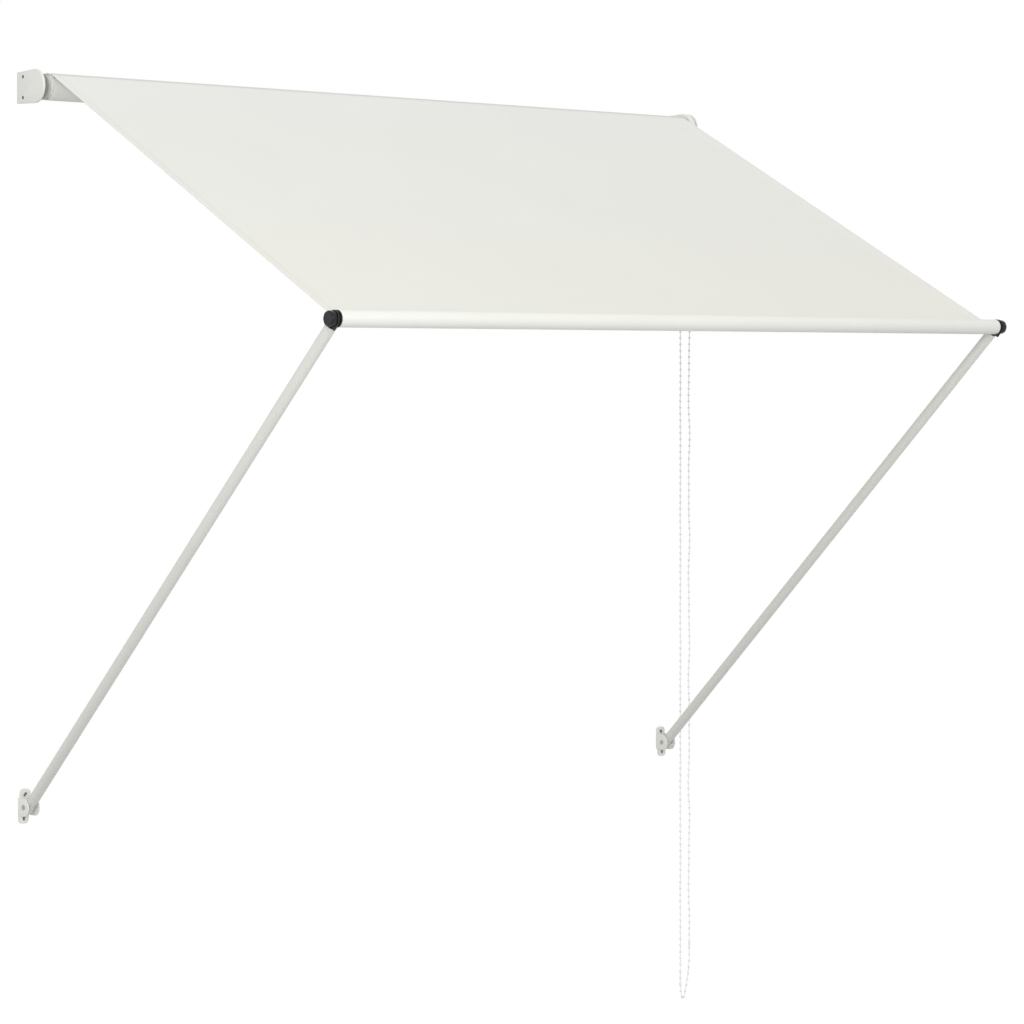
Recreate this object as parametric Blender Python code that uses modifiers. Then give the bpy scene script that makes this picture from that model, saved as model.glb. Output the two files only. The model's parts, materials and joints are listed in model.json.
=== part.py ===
"""Drop-arm awning: a chain-driven roller on two wall brackets, a flat cloth, a round front bar and two
plain tube arms that pivot in clevis feet on the wall.

Metres, +Z up, X along the wall, the wall is the plane Y = 0 and the cloth goes out towards -Y. The origin is
the middle of the left roller bracket's wall flange, on its back face, at the height of the roller axis.
"""
import math

import bmesh
import bpy
import numpy as np
from mathutils import Matrix, Vector

# General fits
GAP = 0.0003
RUN = 0.0003

# Width of the whole awning: the distance between the middles of the two arms
ARM_SPACING = 1.400
LEFT_ARM_X = -0.019

# Roller and its place on the wall
ROLLER_OFF_WALL = 0.053
ROLLER_R = 0.019
ROLLER_WALL = 0.0014
ROLLER_LEFT = -0.0124
ROLLER_LENGTH = ARM_SPACING - 0.0046
PLUG_DEPTH = 0.039
PLUG_FLANGE_R = 0.0205
PLUG_FLANGE = 0.0040
DRIVE_FLANGE = 0.0025

# Cloth
CLOTH_T = 0.0008
TURN_PITCH = 0.0005
TURN_T = 0.00042
TURNS = 5
TURN_STEPS = 30
ROLL_LEFT = ROLLER_LEFT + 0.0042
ROLL_WIDTH = ROLLER_LENGTH - 0.0063
HEM_INSET = 0.0015

# Side plates of the roller brackets, seen from the end
CHEEK_R = 0.0275
CHEEK_REAR_TOP = 0.0253
CHEEK_REAR_BOTTOM = 0.0253
CHEEK_T = 0.0024
COVER_WALL = 0.0020
COVER_EDGE = 0.0012
LEFT_CHEEK_IN = -0.0273
LEFT_COVER_DEPTH = 0.0022
GUARD_INNER_X = ROLLER_LEFT + ROLLER_LENGTH + 0.0038
RIGHT_CHEEK_IN = GUARD_INNER_X + 0.0130
RIGHT_COVER_T = 0.0022
RIGHT_FLANGE_IN = 0.0210
FLANGE_WIDTH = 0.039
FLANGE_HEIGHT = 0.034
FLANGE_T = 0.0030
WALL_HOLE_R = 0.0030
WALL_HOLE_PITCH = 0.022
COVER_SCREW_OFF_WALL = 0.0190
COVER_SCREW_Z = (0.0170, -0.0166)
SCREW_R = 0.0014
SCREW_HEAD_R = 0.0027
SCREW_HEAD_T = 0.0011
SCREW_LENGTH = 0.0060
RIGHT_SCREW_LENGTH = 0.0070

# Idler side
PIN_R = 0.0050
PIN_LENGTH = 0.038
BUSH_T = 0.0027
BUSH_LENGTH = 0.025
RIVET_R = 0.0040
PIN_COLLAR_R = 0.0080
PIN_COLLAR_T = 0.0020

# Chain drive
BEAD_PITCH = 0.012
BEAD_R = 0.00225
STRING_R = 0.0007
POCKETS = 6
SPROCKET_RIM = 0.0020
SPROCKET_WIDTH = 0.0064
SPROCKET_X = RIGHT_CHEEK_IN - 0.0038
HUB_R = 0.0070
HUB_LENGTH = 0.070
NECK_R = 0.0105
NECK_LENGTH = 0.018
SPRING_WIRE_R = 0.00045
SPRING_TURNS = 6
GUARD_WALL = 0.0015
CHAIN_SLOT = 0.0070
CHAIN_DROP = 1.650
CHAIN_CURL = 0.110
CHAIN_BEND = 0.0040

# Front bar
BAR_R = 0.0125
BAR_WALL = 0.0015
BAR_LENGTH = ARM_SPACING - 0.006
SLOT_ANGLE = math.radians(15.0)
CHANNEL_R = 0.0027
CHANNEL_WALL = 0.0013
CHANNEL_FROM_AXIS = 0.0086
SLOT_MOUTH = 0.0022
KEDER_R = 0.0022

# Bar ends: cap, arm head and knob, measured outward from the bar's end
CAP_SHANK = 0.022
CAP_FLANGE_R = 0.0128
CAP_FLANGE_T = 0.0019
BOSS_R = 0.0060
EYE_R = 0.0112
EYE_T = 0.0025
FACE_R = 0.0128
FACE_T = 0.0025
LUG_WIDTH = 0.0150
LUG_REACH = 0.0180
LUG_TIP_R = 0.0018
KNOB_R = 0.0110
KNOB_T = 0.0099
KNOB_LOBES = 8
KNOB_LOBE_DEPTH = 0.0005
KNOB_EDGE = 0.0022
BOLT_R = 0.0029
BOLT_IN_CAP = 0.0160
BOLT_IN_KNOB = 0.0060

# Arms and their wall feet
ARM_LENGTH = 1.138
ARM_REST_ANGLE = math.radians(46.7)
ARM_R = 0.0088
ARM_WALL = 0.0012
ARM_TOP_GAP = 0.0139
ARM_TAIL = 0.0070
HEAD_TONGUE = 0.0080
HEAD_STUB = 0.024
FOOT_DROP = 1.164
FOOT_OFF_WALL = 0.0165
FOOT_PLATE_T = 0.0042
CLEVIS_WIDTH = 0.022
CLEVIS_T = 0.0018
CLEVIS_R = 0.0147
FOOT_HEIGHT = 0.0564
FOOT_TOP_IN = 0.0103
FOOT_TOP_OUT = 0.0085
FOOT_LOW_IN = 0.0068
FOOT_LOW_OUT = 0.0108
FOOT_CORNER_R = 0.0066
FOOT_HOLE_Z = (0.0190, -0.0192)
FOOT_HOLE_IN = (0.0006, -0.0020)
FOOT_HOLE_TILT = (math.radians(-40.0), 0.0)
FOOT_SLOT_WIDTH = 0.0055
FOOT_SLOT_LENGTH = 0.0085
FOOT_PIN_R = 0.0030
FOOT_PIN_HEAD_R = 0.0042
FOOT_PIN_HEAD_T = 0.0012
FOOT_PLUG_LENGTH = 0.030

SIDES = ("left", "right")
# Local z points along world X, local x along world Y
ALONG_X = (math.pi / 2, 0, math.pi / 2)
# Local z points away from the awning's middle at each end
OUTWARD = {"left": (math.pi / 2, 0, -math.pi / 2), "right": ALONG_X}
# Local x of an end piece in terms of world -Y
FRONT = {"left": 1.0, "right": -1.0}
ARM_X = {"left": LEFT_ARM_X, "right": LEFT_ARM_X + ARM_SPACING}
BAR_MID_X = LEFT_ARM_X + ARM_SPACING / 2
HEM_LEFT = BAR_MID_X - BAR_LENGTH / 2 + HEM_INSET
HEM_WIDTH = BAR_LENGTH - 2 * HEM_INSET
BAR_END_X = {"left": BAR_MID_X - BAR_LENGTH / 2, "right": BAR_MID_X + BAR_LENGTH / 2}
ARM_PLANE = (ARM_SPACING - BAR_LENGTH) / 2
BAR_Y = -FOOT_OFF_WALL - ARM_LENGTH * math.sin(ARM_REST_ANGLE)
BAR_Z = -FOOT_DROP + ARM_LENGTH * math.cos(ARM_REST_ANGLE)
ROLLER_AT = Vector((0, -ROLLER_OFF_WALL, 0))
ROLL_R = ROLLER_R + GAP + TURNS * TURN_PITCH


def clear_scene():
    for obj in list(bpy.data.objects):
        bpy.data.objects.remove(obj, do_unlink=True)


def collection(name):
    made = bpy.data.collections.new(name)
    bpy.context.scene.collection.children.link(made)
    return made


clear_scene()
PARTS = collection("canvas_awning")
CUTTERS = collection("cutters")
CUTTERS.hide_render = True


def material(name, colour, roughness, metallic=0.0):
    made = bpy.data.materials.new(name)
    made.use_nodes = True
    shader = made.node_tree.nodes["Principled BSDF"]
    shader.inputs["Base Color"].default_value = (*colour, 1.0)
    shader.inputs["Roughness"].default_value = roughness
    shader.inputs["Metallic"].default_value = metallic
    made.diffuse_color = (*colour, 1.0)
    return made


PAINT = material("cream_paint", (0.83, 0.83, 0.79), 0.38)
COVER = material("cream_plastic", (0.82, 0.82, 0.78), 0.45)
CLOTH = material("cream_cloth", (0.80, 0.80, 0.75), 0.85)
BLACK = material("black_plastic", (0.02, 0.02, 0.02), 0.45)
STEEL = material("zinc_steel", (0.55, 0.55, 0.56), 0.35, 1.0)
NYLON = material("white_nylon", (0.85, 0.85, 0.83), 0.40)
DARK = material("dark_steel", (0.06, 0.06, 0.06), 0.45, 0.6)


# Helpers

def put(name, data, mat, parent=None, location=(0, 0, 0), rotation=(0, 0, 0), smooth=30.0):
    """A new object of the awning, placed under its parent."""
    obj = bpy.data.objects.new(name, data)
    PARTS.objects.link(obj)
    obj.parent = parent
    obj.location = location
    obj.rotation_euler = rotation
    data.materials.append(mat)
    if smooth:
        data.shade_smooth()
        data.set_sharp_from_angle(angle=math.radians(smooth))
    return obj


def holder(name, location, rotation=(0, 0, 0), parent=None):
    """An empty that carries pieces; one on a joint's axis carries what turns there."""
    obj = bpy.data.objects.new(name, None)
    PARTS.objects.link(obj)
    obj.parent = parent
    obj.location = location
    obj.rotation_euler = rotation
    return obj


def revolved(profile, steps, closed=False):
    """The mesh of a profile of (radius, height) points turned about local z, outer side running downwards."""
    mesh = bpy.data.meshes.new("profile")
    count = len(profile)
    edges = [(i, i + 1) for i in range(count - 1)]
    if closed:
        edges.append((count - 1, 0))
    mesh.from_pydata([(r, 0, z) for r, z in profile], edges, [])
    guide = bpy.data.objects.new("profile", mesh)
    bpy.context.scene.collection.objects.link(guide)
    screw = guide.modifiers.new("turn", "SCREW")
    screw.steps = steps
    screw.render_steps = steps
    screw.use_merge_vertices = True
    screw.merge_threshold = 0.00001
    return baked(guide)


def baked(guide):
    """The evaluated mesh of a helper object, which is removed."""
    bpy.context.view_layer.update()
    graph = bpy.context.evaluated_depsgraph_get()
    mesh = bpy.data.meshes.new_from_object(guide.evaluated_get(graph))
    bpy.data.objects.remove(guide, do_unlink=True)
    work = bmesh.new()
    work.from_mesh(mesh)
    bmesh.ops.remove_doubles(work, verts=work.verts, dist=0.000001)
    work.to_mesh(mesh)
    work.free()
    mesh.materials.clear()
    return mesh


def flat(loops, low, high):
    """The mesh of a flat outline with its holes, between two heights along local z."""
    data = bpy.data.curves.new("outline", "CURVE")
    data.dimensions = "2D"
    data.fill_mode = "BOTH"
    data.extrude = (high - low) / 2
    for loop in loops:
        spline = data.splines.new("POLY")
        spline.points.add(len(loop) - 1)
        for point, (x, y) in zip(spline.points, loop):
            point.co = (x, y, 0, 1)
        spline.use_cyclic_u = True
    guide = bpy.data.objects.new("outline", data)
    bpy.context.scene.collection.objects.link(guide)
    mesh = baked(guide)
    mesh.transform(Matrix.Translation((0, 0, (low + high) / 2)))
    return mesh


def arc(centre, radius, start, end, steps):
    """Points on an arc, both ends counted, angles in radians."""
    return [
        (centre[0] + radius * math.cos(a), centre[1] + radius * math.sin(a))
        for a in np.linspace(start, end, steps + 1)
    ]


def ring(centre, radius, steps):
    return arc(centre, radius, 0, math.tau, steps)[:-1]


def rounded(corners, steps=4):
    """An outline of (x, y, fillet radius) corners with each corner rounded."""
    points = []
    for i, (x, y, radius) in enumerate(corners):
        here = Vector((x, y))
        before = (Vector(corners[i - 1][:2]) - here).normalized()
        after = (Vector(corners[(i + 1) % len(corners)][:2]) - here).normalized()
        half = before.angle(after) / 2
        if radius == 0 or half > math.radians(85):
            points.append((x, y))
            continue
        centre = here + (before + after).normalized() * radius / math.sin(half)
        first = here + before * radius / math.tan(half) - centre
        last = here + after * radius / math.tan(half) - centre
        sweep = first.angle_signed(last)
        for step in range(steps + 1):
            turned = first.copy()
            turned.rotate(Matrix.Rotation(-sweep * step / steps, 2))
            points.append(tuple(centre + turned))
    return points


def shift(mesh, x=0.0, y=0.0, z=0.0):
    mesh.transform(Matrix.Translation((x, y, z)))
    return mesh


def cutter(name, mesh, like, location=None, rotation=None):
    """A hidden solid in the same place as the piece that it cuts or joins, unless a place is given."""
    obj = bpy.data.objects.new(name, mesh)
    CUTTERS.objects.link(obj)
    obj.parent = like.parent
    obj.location = like.location if location is None else location
    obj.rotation_euler = like.rotation_euler if rotation is None else rotation
    obj.hide_render = True
    obj.display_type = "WIRE"
    return obj


def combine(obj, mesh, operation="DIFFERENCE", location=None, rotation=None):
    """A Boolean of the piece with a hidden solid."""
    other = cutter(obj.name + "_" + operation.lower(), mesh, obj, location, rotation)
    step = obj.modifiers.new(operation.lower(), "BOOLEAN")
    step.operation = operation
    step.solver = "EXACT"
    step.object = other
    return obj


def cylinder(radius, low, high, steps=24):
    return revolved([(0, high), (radius, high), (radius, low), (0, low)], steps)


def tube(outer, inner, low, high, steps):
    return revolved([(outer, high), (outer, low), (inner, low), (inner, high)], steps, closed=True)


def turned_like(mesh, rotation):
    """The mesh with a rotation made part of it."""
    mesh.transform(Matrix.Rotation(rotation[1], 4, rotation[0]))
    return mesh


# Roller brackets

def cheek_outline(side, inset=0.0, rear=GAP, steps=16):
    """The D outline of a bracket seen from its end: a straight rear edge at the wall and a round front."""
    front = FRONT[side]
    centre = (ROLLER_OFF_WALL, 0.0)
    radius = CHEEK_R - inset

    def tangent(y, sign):
        away = Vector((rear + inset - centre[0], y))
        turn = math.acos(radius / away.length)
        return math.atan2(away.y, away.x) - sign * turn

    low_y = -CHEEK_REAR_BOTTOM + inset
    top_y = CHEEK_REAR_TOP - inset
    start = tangent(low_y, -1) % math.tau - math.tau
    end = tangent(top_y, 1) % math.tau
    points = [(rear + inset, low_y)]
    points += arc(centre, radius, start, end, steps)
    points.append((rear + inset, top_y))
    points = [(front * x, y) for x, y in points]
    return points if front > 0 else points[::-1]


def screw_places(side):
    return [(FRONT[side] * COVER_SCREW_OFF_WALL, z) for z in COVER_SCREW_Z]


def wall_bracket(side, cheek_in, flange_mid):
    """One side plate with the roller's bearing hole, and its wall flange turned in behind the roller."""
    frame = holder(side + "_bracket_frame", (cheek_in, 0, 0), OUTWARD[side])
    inset = COVER_WALL + 2 * GAP
    outline = cheek_outline(side, inset, rear=-inset + GAP)
    holes = [ring((FRONT[side] * ROLLER_OFF_WALL, 0), RIVET_R + GAP, 20)]
    holes += [ring(place, SCREW_R + GAP, 10) for place in screw_places(side)]
    obj = put(side + "_roller_bracket", flat([outline] + holes, 0, CHEEK_T), PAINT, frame)
    sign = 1 if side == "left" else -1
    half = FLANGE_WIDTH / 2
    far = sign * (flange_mid - cheek_in) + half
    foot = [(-far, -FLANGE_HEIGHT / 2, 0.003), (-far, FLANGE_HEIGHT / 2, 0.003),
            (CHEEK_T, FLANGE_HEIGHT / 2, 0), (CHEEK_T, -FLANGE_HEIGHT / 2, 0)]
    hole_x = -sign * (flange_mid - cheek_in)
    wall_holes = [ring((hole_x, z), WALL_HOLE_R, 16) for z in (WALL_HOLE_PITCH / 2, -WALL_HOLE_PITCH / 2)]
    flange = flat([rounded(foot)] + wall_holes, 0, FLANGE_T)
    # The flange is drawn along the wall: its x runs outward, its y up and its thickness off the wall
    turn = Matrix(((0, 0, FRONT[side]), (0, 1, 0), (1, 0, 0))).to_4x4()
    if side == "left":
        flange.transform(Matrix(((0, 0, 1), (0, 1, 0), (-1, 0, 0))).to_4x4() @ Matrix.Diagonal((-1, 1, 1, 1)))
        flange.flip_normals()
    else:
        flange.transform(turn)
    combine(obj, flange, "UNION")
    return obj


def cover_screw(name, parent, place, top, length):
    """A pan-head screw whose head sits at height top and whose shank runs inwards."""
    profile = [(0, top), (SCREW_HEAD_R * 0.7, top), (SCREW_HEAD_R, top - SCREW_HEAD_T * 0.5),
               (SCREW_HEAD_R, top - SCREW_HEAD_T), (SCREW_R, top - SCREW_HEAD_T),
               (SCREW_R, top - length), (0, top - length)]
    return put(name, revolved(profile, 12), DARK, parent, (*place, 0))


def left_bracket():
    wall_bracket("left", LEFT_CHEEK_IN, 0.0)
    frame = holder("left_cover_frame", (LEFT_CHEEK_IN - CHEEK_T - GAP, 0, 0), OUTWARD["left"])
    shell = flat([cheek_outline("left")], -CHEEK_T, LEFT_COVER_DEPTH)
    cover = put("left_bracket_cover", shell, COVER, frame)
    edge = cover.modifiers.new("edge", "BEVEL")
    edge.width = COVER_EDGE
    edge.segments = 2
    edge.limit_method = "ANGLE"
    edge.angle_limit = math.radians(50)
    hollow = flat([cheek_outline("left", COVER_WALL, rear=-0.012)], -2 * CHEEK_T,
                  LEFT_COVER_DEPTH - COVER_WALL)
    combine(cover, hollow)
    for mark, place in zip(("upper", "lower"), screw_places("left")):
        hole = shift(cylinder(SCREW_HEAD_R + GAP, -0.001, LEFT_COVER_DEPTH + 0.001, 16), *place)
        combine(cover, hole)
        cover_screw("left_cover_screw_" + mark, frame, place, GAP + SCREW_HEAD_T, SCREW_LENGTH)


def right_bracket():
    wall_bracket("right", RIGHT_CHEEK_IN, RIGHT_CHEEK_IN - RIGHT_FLANGE_IN)
    frame = holder("right_cover_frame", (RIGHT_CHEEK_IN + CHEEK_T + GAP, 0, 0), OUTWARD["right"])
    holes = [ring(place, SCREW_R + GAP, 10) for place in screw_places("right")]
    plate = flat([cheek_outline("right")] + holes, 0, RIGHT_COVER_T)
    put("right_bracket_cover", plate, COVER, frame)
    for mark, place in zip(("upper", "lower"), screw_places("right")):
        cover_screw("right_cover_screw_" + mark, frame, place,
                    RIGHT_COVER_T + GAP + SCREW_HEAD_T, RIGHT_SCREW_LENGTH)


# Roller

def roller():
    axis = holder("roller_axis", (ROLLER_LEFT, -ROLLER_OFF_WALL, 0), ALONG_X)
    bore = ROLLER_R - ROLLER_WALL
    put("roller_tube", tube(ROLLER_R, bore, 0, ROLLER_LENGTH, 40), PAINT, axis)
    idler_plug(axis, bore)
    drive_plug(axis, bore)
    cloth_roll(axis)
    return axis


def idler_plug(axis, bore):
    """The plug in the tube's idler end, its bearing bush and the pin that is riveted to the bracket."""
    bush_r = PIN_R + RUN + BUSH_T
    low = -GAP - PLUG_FLANGE
    profile = [(bore - GAP, PLUG_DEPTH), (bore - GAP, -GAP), (PLUG_FLANGE_R, -GAP), (PLUG_FLANGE_R, low),
               (bush_r + GAP, low), (bush_r + GAP, PLUG_DEPTH)]
    put("idler_plug", revolved(profile, 32, closed=True), NYLON, axis)
    collar = low - GAP
    bush = [(bush_r, collar + BUSH_LENGTH), (bush_r, collar), (bush_r + 0.0025, collar),
            (bush_r + 0.0025, collar - 0.0010), (PIN_R + RUN, collar - 0.0010),
            (PIN_R + RUN, collar + BUSH_LENGTH)]
    put("idler_bush", revolved(bush, 24, closed=True), NYLON, axis)
    cheek = LEFT_CHEEK_IN - ROLLER_LEFT
    step = cheek + GAP
    pin = [(0, step + PIN_LENGTH), (PIN_R - 0.001, step + PIN_LENGTH), (PIN_R, step + PIN_LENGTH - 0.001),
           (PIN_R, step + PIN_COLLAR_T), (PIN_COLLAR_R, step + PIN_COLLAR_T), (PIN_COLLAR_R, step),
           (RIVET_R, step), (RIVET_R, cheek - CHEEK_T), (0, cheek - CHEEK_T)]
    put("idler_pin", revolved(pin, 20), STEEL, axis)


def drive_plug(axis, bore):
    """The plug in the tube's chain end: a wide bore for the sprocket's neck, then a narrower one."""
    flange = ROLLER_LENGTH + GAP
    face = flange + DRIVE_FLANGE
    neck_end = SPROCKET_X - SPROCKET_WIDTH / 2 - NECK_LENGTH - ROLLER_LEFT - 2 * GAP
    profile = [(PLUG_FLANGE_R, face), (PLUG_FLANGE_R, flange), (bore - GAP, flange),
               (bore - GAP, flange - PLUG_DEPTH), (HUB_R + 0.0019, flange - PLUG_DEPTH),
               (HUB_R + 0.0019, neck_end), (NECK_R + GAP, neck_end), (NECK_R + GAP, face)]
    put("drive_plug", revolved(profile, 32, closed=True), NYLON, axis)


def cloth_roll(axis):
    """The cloth that is still wound up: one strip wound in a spiral, leaving the roller at the top front."""
    leave = cloth_line()[2]
    steps = TURNS * TURN_STEPS
    inside = []
    outside = []
    for i in range(steps + 1):
        angle = leave - math.tau * (steps - i) / TURN_STEPS
        radius = ROLLER_R + GAP + TURN_PITCH * i / TURN_STEPS
        inside.append((radius * math.cos(angle), radius * math.sin(angle)))
        outside.append(((radius + TURN_T) * math.cos(angle), (radius + TURN_T) * math.sin(angle)))
    start = ROLL_LEFT - ROLLER_LEFT
    put("cloth_roll", flat([outside + inside[::-1]], start, start + ROLL_WIDTH), CLOTH, axis)


def cloth_line():
    """Where the cloth leaves the roll and meets the bar's slot: (leave point, bar point, leave angle), in Y and Z."""
    bar = Vector((BAR_Y, BAR_Z)) + (BAR_R + GAP) * Vector((math.cos(SLOT_ANGLE), math.sin(SLOT_ANGLE)))
    axis = Vector((-ROLLER_OFF_WALL, 0))
    radius = ROLL_R + TURN_T + GAP + CLOTH_T / 2
    away = bar - axis
    angle = math.atan2(away.y, away.x) % math.tau - math.acos(radius / away.length)
    leave = axis + radius * Vector((math.cos(angle), math.sin(angle)))
    return leave, bar, angle


def cloth_sheet():
    """The free stretch of cloth, straight from the roll to the slot in the bar."""
    leave, bar, _ = cloth_line()
    run = bar - leave
    tilt = math.atan2(-run.y, -run.x)
    frame = holder("cloth_frame", (0, leave.x, leave.y), (math.pi + tilt, 0, 0))
    reach = run.length - GAP
    outline = [(ROLL_LEFT, 0), (ROLL_LEFT + ROLL_WIDTH, 0), (HEM_LEFT + HEM_WIDTH, reach), (HEM_LEFT, reach)]
    put("cloth_sheet", flat([outline], -CLOTH_T / 2, CLOTH_T / 2), CLOTH, frame, smooth=None)


# Chain drive

def chain_route():
    """The chain's centre line in Y and Z about the sprocket's axis, and the beads' places along it."""
    radius = BEAD_PITCH / (2 * math.sin(math.pi / POCKETS))
    bends = arc((0, 0), radius, 0, math.pi, POCKETS // 2)
    low_mid = radius - CHAIN_BEND
    curl_top = -CHAIN_DROP + CHAIN_BEND + CHAIN_CURL
    turn_z = -CHAIN_DROP + CHAIN_BEND

    def below(stretch):
        rear = [(radius, z - stretch) for z in np.linspace(0, turn_z, 160)[1:]]
        bottom = arc((low_mid, turn_z - stretch), CHAIN_BEND, 0, -math.pi, 24)[1:]
        front = []
        for t in np.linspace(0, 1, 60)[1:]:
            ease = t * t * (3 - 2 * t)
            near = low_mid - CHAIN_BEND
            front.append((near + (-radius - near) * ease, turn_z + (curl_top - turn_z) * t - stretch))
        up = [(-radius, z) for z in np.linspace(curl_top - stretch, 0, 160)[1:]]
        return [(radius, 0.0)] + [(y, min(z, 0.0)) for y, z in rear] + bottom + front + up

    def length(path):
        steps = np.diff(np.array(path), axis=0)
        return float(np.hypot(steps[:, 0], steps[:, 1]).sum())

    count = round(length(below(0.0)) / BEAD_PITCH)
    spare = (count * BEAD_PITCH - length(below(0.0))) / 2
    path = np.array(below(spare))
    along = np.concatenate([[0], np.cumsum(np.hypot(*np.diff(path, axis=0).T))])
    places = np.linspace(0, along[-1], count + 1)[:-1]
    hanging = [(float(np.interp(s, along, path[:, 0])), float(np.interp(s, along, path[:, 1]))) for s in places]
    return hanging + bends[::-1][:-1]


def bead_chain():
    """A string with a moulded bead at each pitch: a closed curve whose radius swells at each bead."""
    beads = [Vector(place) for place in chain_route()]
    data = bpy.data.curves.new("bead_chain", "CURVE")
    data.dimensions = "3D"
    data.bevel_depth = 1.0
    data.bevel_resolution = 1
    spline = data.splines.new("POLY")
    spline.points.add(3 * len(beads) - 1)
    for i, here in enumerate(beads):
        before = (here - beads[i - 1]).normalized()
        after = (beads[(i + 1) % len(beads)] - here).normalized()
        stations = ((here - before * BEAD_R, STRING_R), (here, BEAD_R), (here + after * BEAD_R, STRING_R))
        for k, (place, radius) in enumerate(stations):
            point = spline.points[3 * i + k]
            point.co = (SPROCKET_X, place.x - ROLLER_OFF_WALL, place.y, 1)
            point.radius = radius
    spline.use_cyclic_u = True
    obj = bpy.data.objects.new("bead_chain", data)
    PARTS.objects.link(obj)
    data.materials.append(NYLON)


def sprocket():
    """The chain wheel with a pocket for each bead, and the neck that drives the roller's plug."""
    pitch_r = BEAD_PITCH / (2 * math.sin(math.pi / POCKETS))
    axis = holder("sprocket_axis", (SPROCKET_X, -ROLLER_OFF_WALL, 0), ALONG_X)
    half = SPROCKET_WIDTH / 2
    rim = pitch_r + SPROCKET_RIM
    root = pitch_r * math.cos(math.pi / POCKETS) - STRING_R - 2 * GAP
    lip = STRING_R + GAP
    low = -half - NECK_LENGTH
    profile = [(rim - 0.0006, half), (rim, half - 0.0006), (rim, lip), (root, lip), (root, -lip), (rim, -lip),
               (rim, -half + 0.0006), (rim - 0.0006, -half), (NECK_R, -half), (NECK_R, low),
               (HUB_R + RUN, low), (HUB_R + RUN, half)]
    wheel = put("chain_sprocket", revolved(profile, 36, closed=True), NYLON, axis)
    for i in range(POCKETS):
        angle = math.tau * i / POCKETS
        pocket = bmesh.new()
        bmesh.ops.create_uvsphere(pocket, u_segments=10, v_segments=6, radius=BEAD_R * 1.08 + 2 * GAP)
        mesh = bpy.data.meshes.new("pocket")
        pocket.to_mesh(mesh)
        pocket.free()
        shift(mesh, pitch_r * math.cos(angle), pitch_r * math.sin(angle))
        combine(wheel, mesh)


def clutch_hub():
    """The fixed hub that carries the sprocket and the end of the roller, riveted to the bracket."""
    axis = holder("hub_axis", (RIGHT_CHEEK_IN, -ROLLER_OFF_WALL, 0), ALONG_X)
    far = CHEEK_T - GAP
    hub = [(0, far), (RIVET_R, far), (RIVET_R, -GAP), (HUB_R, -GAP), (HUB_R, 0.001 - HUB_LENGTH),
           (HUB_R - 0.001, -HUB_LENGTH), (0, -HUB_LENGTH)]
    put("clutch_hub", revolved(hub, 24), STEEL, axis)


def clutch_spring():
    """The wrap spring round the hub, which lets the chain turn the roller but not the roller the chain."""
    start = SPROCKET_X - SPROCKET_WIDTH / 2 - NECK_LENGTH - 0.004
    radius = HUB_R + GAP + SPRING_WIRE_R
    data = bpy.data.curves.new("clutch_spring", "CURVE")
    data.dimensions = "3D"
    data.bevel_depth = SPRING_WIRE_R
    data.bevel_resolution = 0
    data.use_fill_caps = True
    steps = SPRING_TURNS * 14
    spline = data.splines.new("POLY")
    spline.points.add(steps)
    for i, point in enumerate(spline.points):
        angle = math.tau * i / 14
        x = start - 0.012 * i / steps
        point.co = (x, radius * math.cos(angle) - ROLLER_OFF_WALL, radius * math.sin(angle), 1)
    obj = bpy.data.objects.new("clutch_spring", data)
    PARTS.objects.link(obj)
    data.materials.append(STEEL)


def chain_guard():
    """The housing round the sprocket, open towards the bracket plate, with two slots for the chain below."""
    frame = holder("guard_frame", (GUARD_INNER_X, 0, 0), OUTWARD["right"])
    depth = RIGHT_CHEEK_IN - GAP - GUARD_INNER_X
    rear = FLANGE_T + GAP
    body = put("chain_guard", flat([cheek_outline("right", rear=rear)], 0, depth), COVER, frame)
    hollow = flat([cheek_outline("right", GUARD_WALL, rear=rear)], GUARD_WALL, depth + 0.002)
    combine(body, hollow)
    combine(body, shift(cylinder(NECK_R + 2 * GAP, -0.002, 0.005, 28), -ROLLER_OFF_WALL, 0, 0))
    pitch_r = BEAD_PITCH / (2 * math.sin(math.pi / POCKETS))
    half = CHAIN_SLOT / 2
    mid = SPROCKET_X - GUARD_INNER_X
    for side in (1, -1):
        x = -ROLLER_OFF_WALL + side * pitch_r
        slot = flat([[(x - half, -0.032), (x + half, -0.032), (x + half, -0.012), (x - half, -0.012)]],
                    mid - half, mid + half)
        combine(body, slot)


# Front bar

def bar_section():
    """The bar's section: a round tube with a keyhole channel for the cloth's edge, and the hollow round it."""
    middle = Vector((math.cos(SLOT_ANGLE), math.sin(SLOT_ANGLE))) * CHANNEL_FROM_AXIS
    mouth = math.asin(SLOT_MOUTH / 2 / BAR_R)
    neck = math.asin(SLOT_MOUTH / 2 / CHANNEL_R)
    outer = arc((0, 0), BAR_R, SLOT_ANGLE + mouth, SLOT_ANGLE + math.tau - mouth, 36)
    channel = arc(middle, CHANNEL_R, SLOT_ANGLE - neck, SLOT_ANGLE - math.tau + neck, 12)
    bore = BAR_R - BAR_WALL
    wall = CHANNEL_R + CHANNEL_WALL
    reach = (CHANNEL_FROM_AXIS ** 2 + bore ** 2 - wall ** 2) / (2 * CHANNEL_FROM_AXIS * bore)
    meet = math.acos(reach)
    at_meet = Vector((math.cos(SLOT_ANGLE + meet), math.sin(SLOT_ANGLE + meet))) * bore - middle
    swing = math.atan2(at_meet.y, at_meet.x) - SLOT_ANGLE
    hollow = arc((0, 0), bore, SLOT_ANGLE + meet, SLOT_ANGLE + math.tau - meet, 30)
    hollow += arc(middle, wall, SLOT_ANGLE - swing, SLOT_ANGLE - math.tau + swing, 10)[1:-1]
    return [outer + channel, hollow]


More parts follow.
